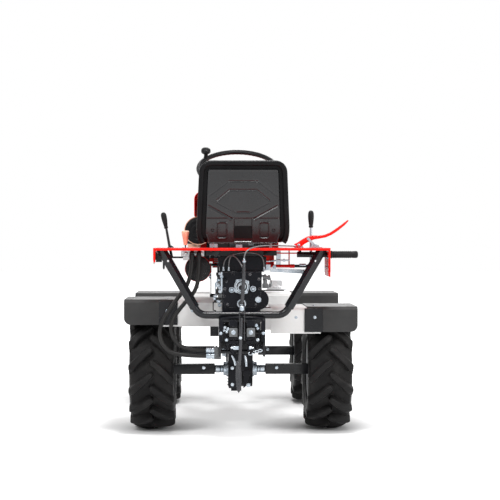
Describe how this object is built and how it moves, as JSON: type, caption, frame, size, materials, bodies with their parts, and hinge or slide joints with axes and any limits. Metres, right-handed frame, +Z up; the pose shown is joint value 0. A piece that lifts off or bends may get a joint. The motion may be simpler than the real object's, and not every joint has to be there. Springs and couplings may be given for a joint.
{
  "type": "articulated compact tractor",
  "caption": "Small pivot-steered farm tractor with equal lugged wheels, rear-mounted seat, red control deck, tube frame, hinged red hood and rear hitch.",
  "frame": {"origin": "on the ground below the articulation pivot, midway along the tractor and on its centre plane", "axes": "+Y forward, +X to the driver's right, +Z up"},
  "size_m": [1.136, 2.01, 1.4454],
  "materials": {
    "tyre_rubber": "matte",
    "rim_silver": "satin",
    "frame_black": "gloss",
    "case_black": "semi-gloss",
    "zinc_plate": "satin",
    "deck_red": "gloss",
    "panel_grey": "satin",
    "guard_black": "matte",
    "seat_vinyl": "satin",
    "seat_steel": "semi-gloss",
    "grip_rubber": "matte",
    "checker_aluminium": "satin",
    "valve_black": "semi-gloss",
    "engine_grey": "semi-matte",
    "wheel_plastic": "satin",
    "hose_rubber": "matte",
    "knob_orange": "gloss",
    "lamp_lens": "gloss"
  },
  "bodies": {
    "rear_frame": {"black_link": "frame_black", "cable_left": "hose_rubber", "cable_middle": "hose_rubber", "cable_right": "hose_rubber", "case_fittings": "zinc_plate", "control_deck": "deck_red", "foot_plates": "checker_aluminium", "frame_post_left": "frame_black", "frame_post_right": "frame_black", "gear_case": "case_black", "hand_grips": "grip_rubber", "hand_lever": "deck_red", "hitch_frame": "frame_black", "hitch_lever": "frame_black", "hose_fittings": "zinc_plate", "hose_line_inner": "hose_rubber", "hose_line_outer": "hose_rubber", "hydraulic_valve": "valve_black", "left_lever": "frame_black", "orange_lever": "knob_orange", "rear_bar": "frame_black", "rear_bearing_caps": "zinc_plate", "rear_chassis": "frame_black", "rear_guard_beams": "frame_black", "rear_mudguards": "guard_black", "rear_panels": "panel_grey", "red_links": "deck_red", "right_lever": "zinc_plate", "seat_back_cushion": "seat_vinyl", "seat_cushion": "seat_vinyl", "seat_pan": "seat_steel", "seat_springs": "zinc_plate", "seat_support": "frame_black", "steering_tower": "frame_black", "zinc_links": "zinc_plate"},
    "rear_wheel_left": {"rear_tyre_left": "tyre_rubber", "rear_rim_left": "rim_silver", "rear_hub_left": "frame_black"},
    "rear_wheel_right": {"rear_tyre_right": "tyre_rubber", "rear_rim_right": "rim_silver", "rear_hub_right": "frame_black"},
    "front_wheel_left": {"front_tyre_left": "tyre_rubber", "front_rim_left": "rim_silver", "front_hub_left": "frame_black"},
    "front_wheel_right": {"front_tyre_right": "tyre_rubber", "front_rim_right": "rim_silver", "front_hub_right": "frame_black"},
    "pivot_yoke": {"articulation_yoke": "frame_black"},
    "front_frame": {"air_cleaner": "wheel_plastic", "engine": "engine_grey", "exhaust": "engine_grey", "front_axle_case": "case_black", "front_bearing_caps": "zinc_plate", "front_chassis": "frame_black", "front_mudguards": "guard_black", "front_panels": "panel_grey"},
    "hood": {"headlamps": "lamp_lens", "hood": "deck_red"},
    "steering_wheel": {"steering_wheel": "wheel_plastic"}
  },
  "joints": [
    {"name": "rear_wheel_left_spin", "type": "hinge", "parent": "rear_frame", "child": "rear_wheel_left", "pos_m": [-0.428, -0.525, 0.292], "axis": [-1, 0, 0], "continuous": true},
    {"name": "front_wheel_left_spin", "type": "hinge", "parent": "front_frame", "child": "front_wheel_left", "pos_m": [-0.428, 0.525, 0.292], "axis": [-1, 0, 0], "continuous": true},
    {"name": "rear_wheel_right_spin", "type": "hinge", "parent": "rear_frame", "child": "rear_wheel_right", "pos_m": [0.428, -0.525, 0.292], "axis": [-1, 0, 0], "continuous": true},
    {"name": "front_wheel_right_spin", "type": "hinge", "parent": "front_frame", "child": "front_wheel_right", "pos_m": [0.428, 0.525, 0.292], "axis": [-1, 0, 0], "continuous": true},
    {"name": "articulation", "type": "hinge", "parent": "rear_frame", "child": "pivot_yoke", "pos_m": [0, 0, 0.45], "axis": [0, 0, 1], "range_deg": [-32, 32]},
    {"name": "frame_oscillation", "type": "hinge", "parent": "pivot_yoke", "child": "front_frame", "pos_m": [0, 0.1, 0.45], "axis": [0, 1, 0], "range_deg": [-8, 8]},
    {"name": "hood_lift", "type": "hinge", "parent": "front_frame", "child": "hood", "pos_m": [0, 0.955, 0.778], "axis": [-1, 0, 0], "range_deg": [0, 55]},
    {"name": "steering_wheel_turn", "type": "hinge", "parent": "rear_frame", "child": "steering_wheel", "pos_m": [0, 0.075, 1.315], "axis": [0, -0.4848, 0.8746], "range_deg": [-390, 390]}
  ],
  "couplings": [
    {"joint": "steering_wheel_turn", "follows": "articulation", "ratio": 12}
  ]
}
